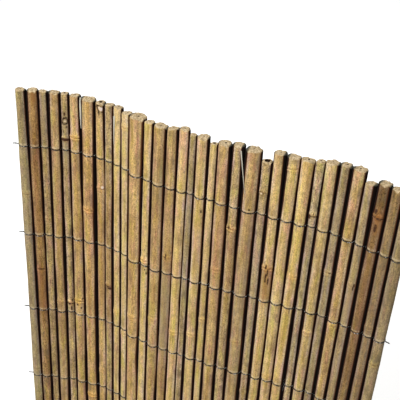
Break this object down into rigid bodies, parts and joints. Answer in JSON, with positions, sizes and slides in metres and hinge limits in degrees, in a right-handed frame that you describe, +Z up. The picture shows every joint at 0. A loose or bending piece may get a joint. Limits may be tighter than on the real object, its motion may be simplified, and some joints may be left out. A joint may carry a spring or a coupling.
{
  "type": "bamboo screening mat",
  "caption": "Upright screening mat of whole bamboo canes set side by side in a gently waving line, bound across by rows of paired tie wires.",
  "frame": {"origin": "middle of the mat's box, on the ground that the canes stand on", "axes": "+Z up along the canes, +Y to the back of the mat, +X to its right end seen from the front"},
  "size_m": [0.6653, 0.0549, 0.9],
  "materials": {
    "bamboo_straw": "dry straw-coloured bamboo, satin, with lengthwise streaks",
    "bamboo_khaki": "dry bamboo with a khaki cast, satin",
    "bamboo_tan": "dry pinkish tan bamboo, satin",
    "bamboo_brown": "dry orange-brown bamboo, satin, stained in places",
    "tie_wire": "weathered galvanised wire"
  },
  "bodies": {
    "root": {"cane_01": "bamboo_khaki", "cane_02": "bamboo_brown", "cane_03": "bamboo_khaki", "cane_04": "bamboo_tan", "cane_05": "bamboo_khaki", "cane_06": "bamboo_tan", "cane_07": "bamboo_tan", "cane_08": "bamboo_tan", "cane_09": "bamboo_khaki", "cane_10": "bamboo_straw", "cane_11": "bamboo_straw", "cane_12": "bamboo_tan", "cane_13": "bamboo_straw", "cane_14": "bamboo_tan", "cane_15": "bamboo_tan", "cane_16": "bamboo_straw", "cane_17": "bamboo_khaki", "cane_18": "bamboo_straw", "cane_19": "bamboo_straw", "cane_20": "bamboo_tan", "cane_21": "bamboo_khaki", "cane_22": "bamboo_tan", "cane_23": "bamboo_khaki", "cane_24": "bamboo_straw", "cane_25": "bamboo_straw", "cane_26": "bamboo_straw", "cane_27": "bamboo_khaki", "cane_28": "bamboo_straw", "cane_29": "bamboo_khaki", "cane_30": "bamboo_tan", "cane_31": "bamboo_khaki", "cane_32": "bamboo_brown", "cane_33": "bamboo_brown", "cane_34": "bamboo_khaki", "tie_wire_1_lower": "tie_wire", "tie_wire_1_upper": "tie_wire", "tie_wire_2_lower": "tie_wire", "tie_wire_2_upper": "tie_wire", "tie_wire_3_lower": "tie_wire", "tie_wire_3_upper": "tie_wire", "tie_wire_4_lower": "tie_wire", "tie_wire_4_upper": "tie_wire", "tie_wire_5_lower": "tie_wire", "tie_wire_5_upper": "tie_wire"}
  },
  "joints": []
}
